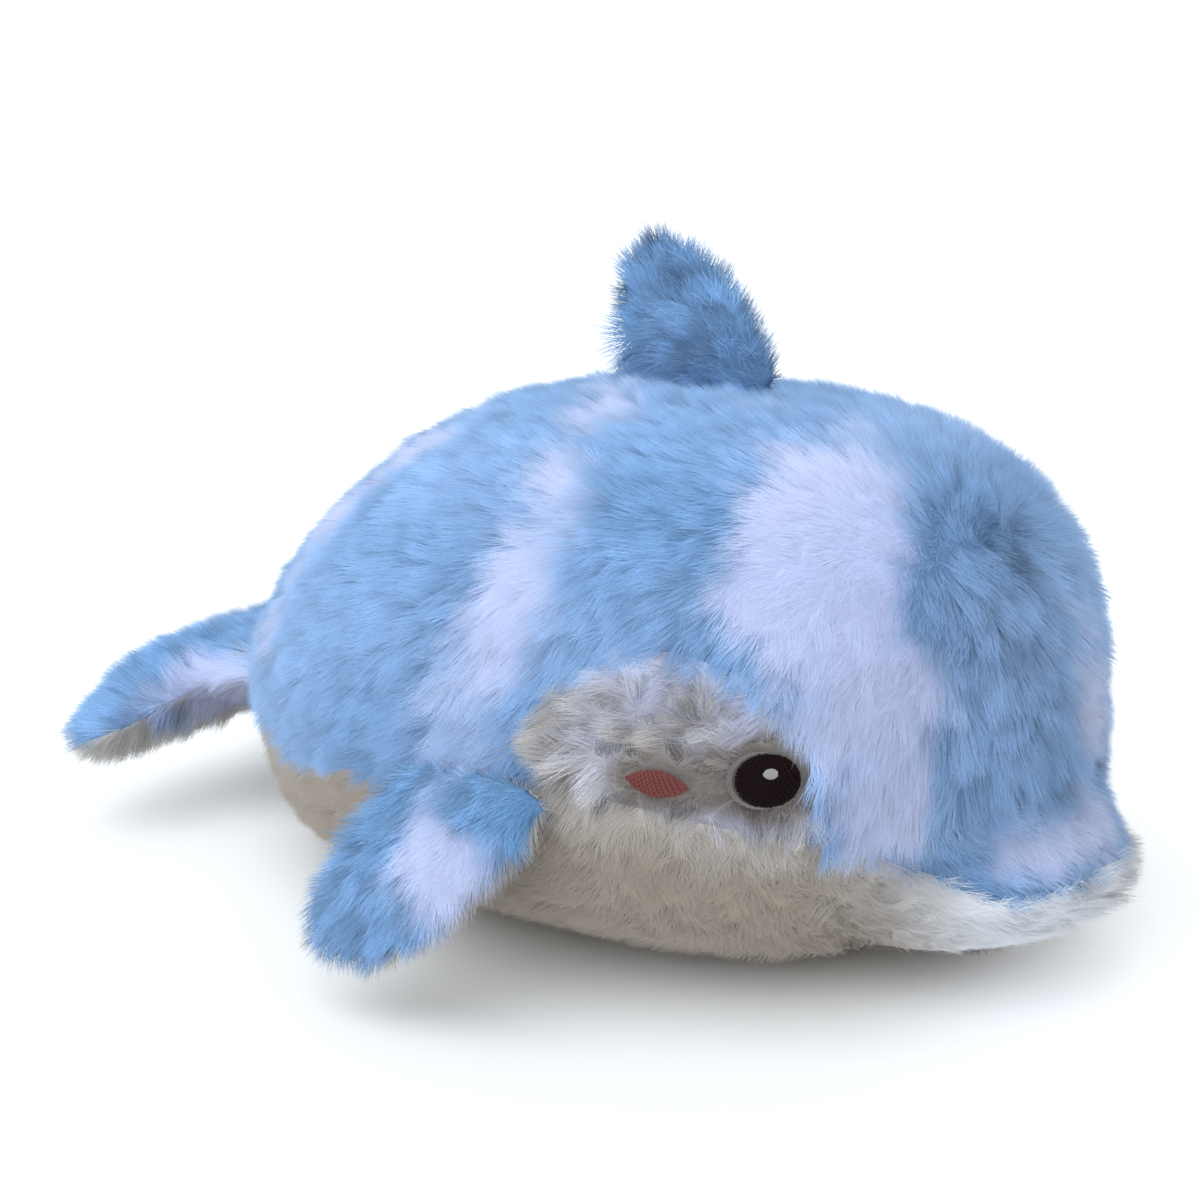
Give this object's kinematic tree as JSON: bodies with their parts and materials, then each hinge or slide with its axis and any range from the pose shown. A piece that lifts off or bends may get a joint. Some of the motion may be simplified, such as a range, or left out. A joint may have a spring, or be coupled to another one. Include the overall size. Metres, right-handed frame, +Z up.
{
  "type": "plush dolphin",
  "caption": "Stuffed plush dolphin lying on a flat pressed belly, with a tie-dyed furry back, pale belly and jaw, stitched eyes, and a back fin, flippers and tail that flex on their seams.",
  "frame": {"origin": "on the ground under the middle of the dolphin's overall box", "axes": "+X the way the dolphin faces, +Y its left side, +Z up"},
  "size_m": [0.4446, 0.3418, 0.2598],
  "materials": {
    "dyed_plush": "matte",
    "cream_plush": "matte",
    "cream_long_plush": "matte",
    "stuffing": "matte",
    "eye_thread": "satin",
    "rim_thread": "satin",
    "glint_thread": "satin",
    "cheek_thread": "satin"
  },
  "bodies": {
    "body": {"body_stuffing": "stuffing", "belly_panel": "cream_plush", "back_panel_right": "dyed_plush", "eye_patch_right": "cream_long_plush", "eye_right": "eye_thread", "eye_rim_right": "rim_thread", "eye_glint_right": "glint_thread", "cheek_right": "cheek_thread", "back_panel_left": "dyed_plush", "eye_patch_left": "cream_long_plush", "eye_left": "eye_thread", "eye_rim_left": "rim_thread", "eye_glint_left": "glint_thread", "cheek_left": "cheek_thread"},
    "dorsal_fin": {"dorsal_fin_right_panel": "dyed_plush", "dorsal_fin_left_panel": "dyed_plush", "dorsal_fin_stuffing": "stuffing"},
    "flipper_right": {"flipper_right_top_panel": "dyed_plush", "flipper_right_under_panel": "cream_plush", "flipper_right_stuffing": "stuffing"},
    "flipper_left": {"flipper_left_top_panel": "dyed_plush", "flipper_left_under_panel": "cream_plush", "flipper_left_stuffing": "stuffing"},
    "tail": {"tail_top_panel": "dyed_plush", "tail_under_panel": "cream_plush", "tail_stuffing": "stuffing"}
  },
  "joints": [
    {"name": "dorsal_fin_flop", "type": "hinge", "parent": "body", "child": "dorsal_fin", "pos_m": [0.04966, 0, 0.20892], "axis": [1, 0, 0], "range_deg": [-30, 30], "stiffness_Nm_per_rad": 0.05},
    {"name": "flipper_right_flap", "type": "hinge", "parent": "body", "child": "flipper_right", "pos_m": [0.04773, -0.14202, 0.08405], "axis": [-1, 0, 0], "range_deg": [-5, 70], "stiffness_Nm_per_rad": 0.06},
    {"name": "flipper_left_flap", "type": "hinge", "parent": "body", "child": "flipper_left", "pos_m": [0.04773, 0.14202, 0.08405], "axis": [1, 0, 0], "range_deg": [-5, 70], "stiffness_Nm_per_rad": 0.06},
    {"name": "tail_flap", "type": "hinge", "parent": "body", "child": "tail", "pos_m": [-0.15428, 0, 0.06892], "axis": [0, 1, 0], "range_deg": [-25, 25], "stiffness_Nm_per_rad": 0.15}
  ]
}
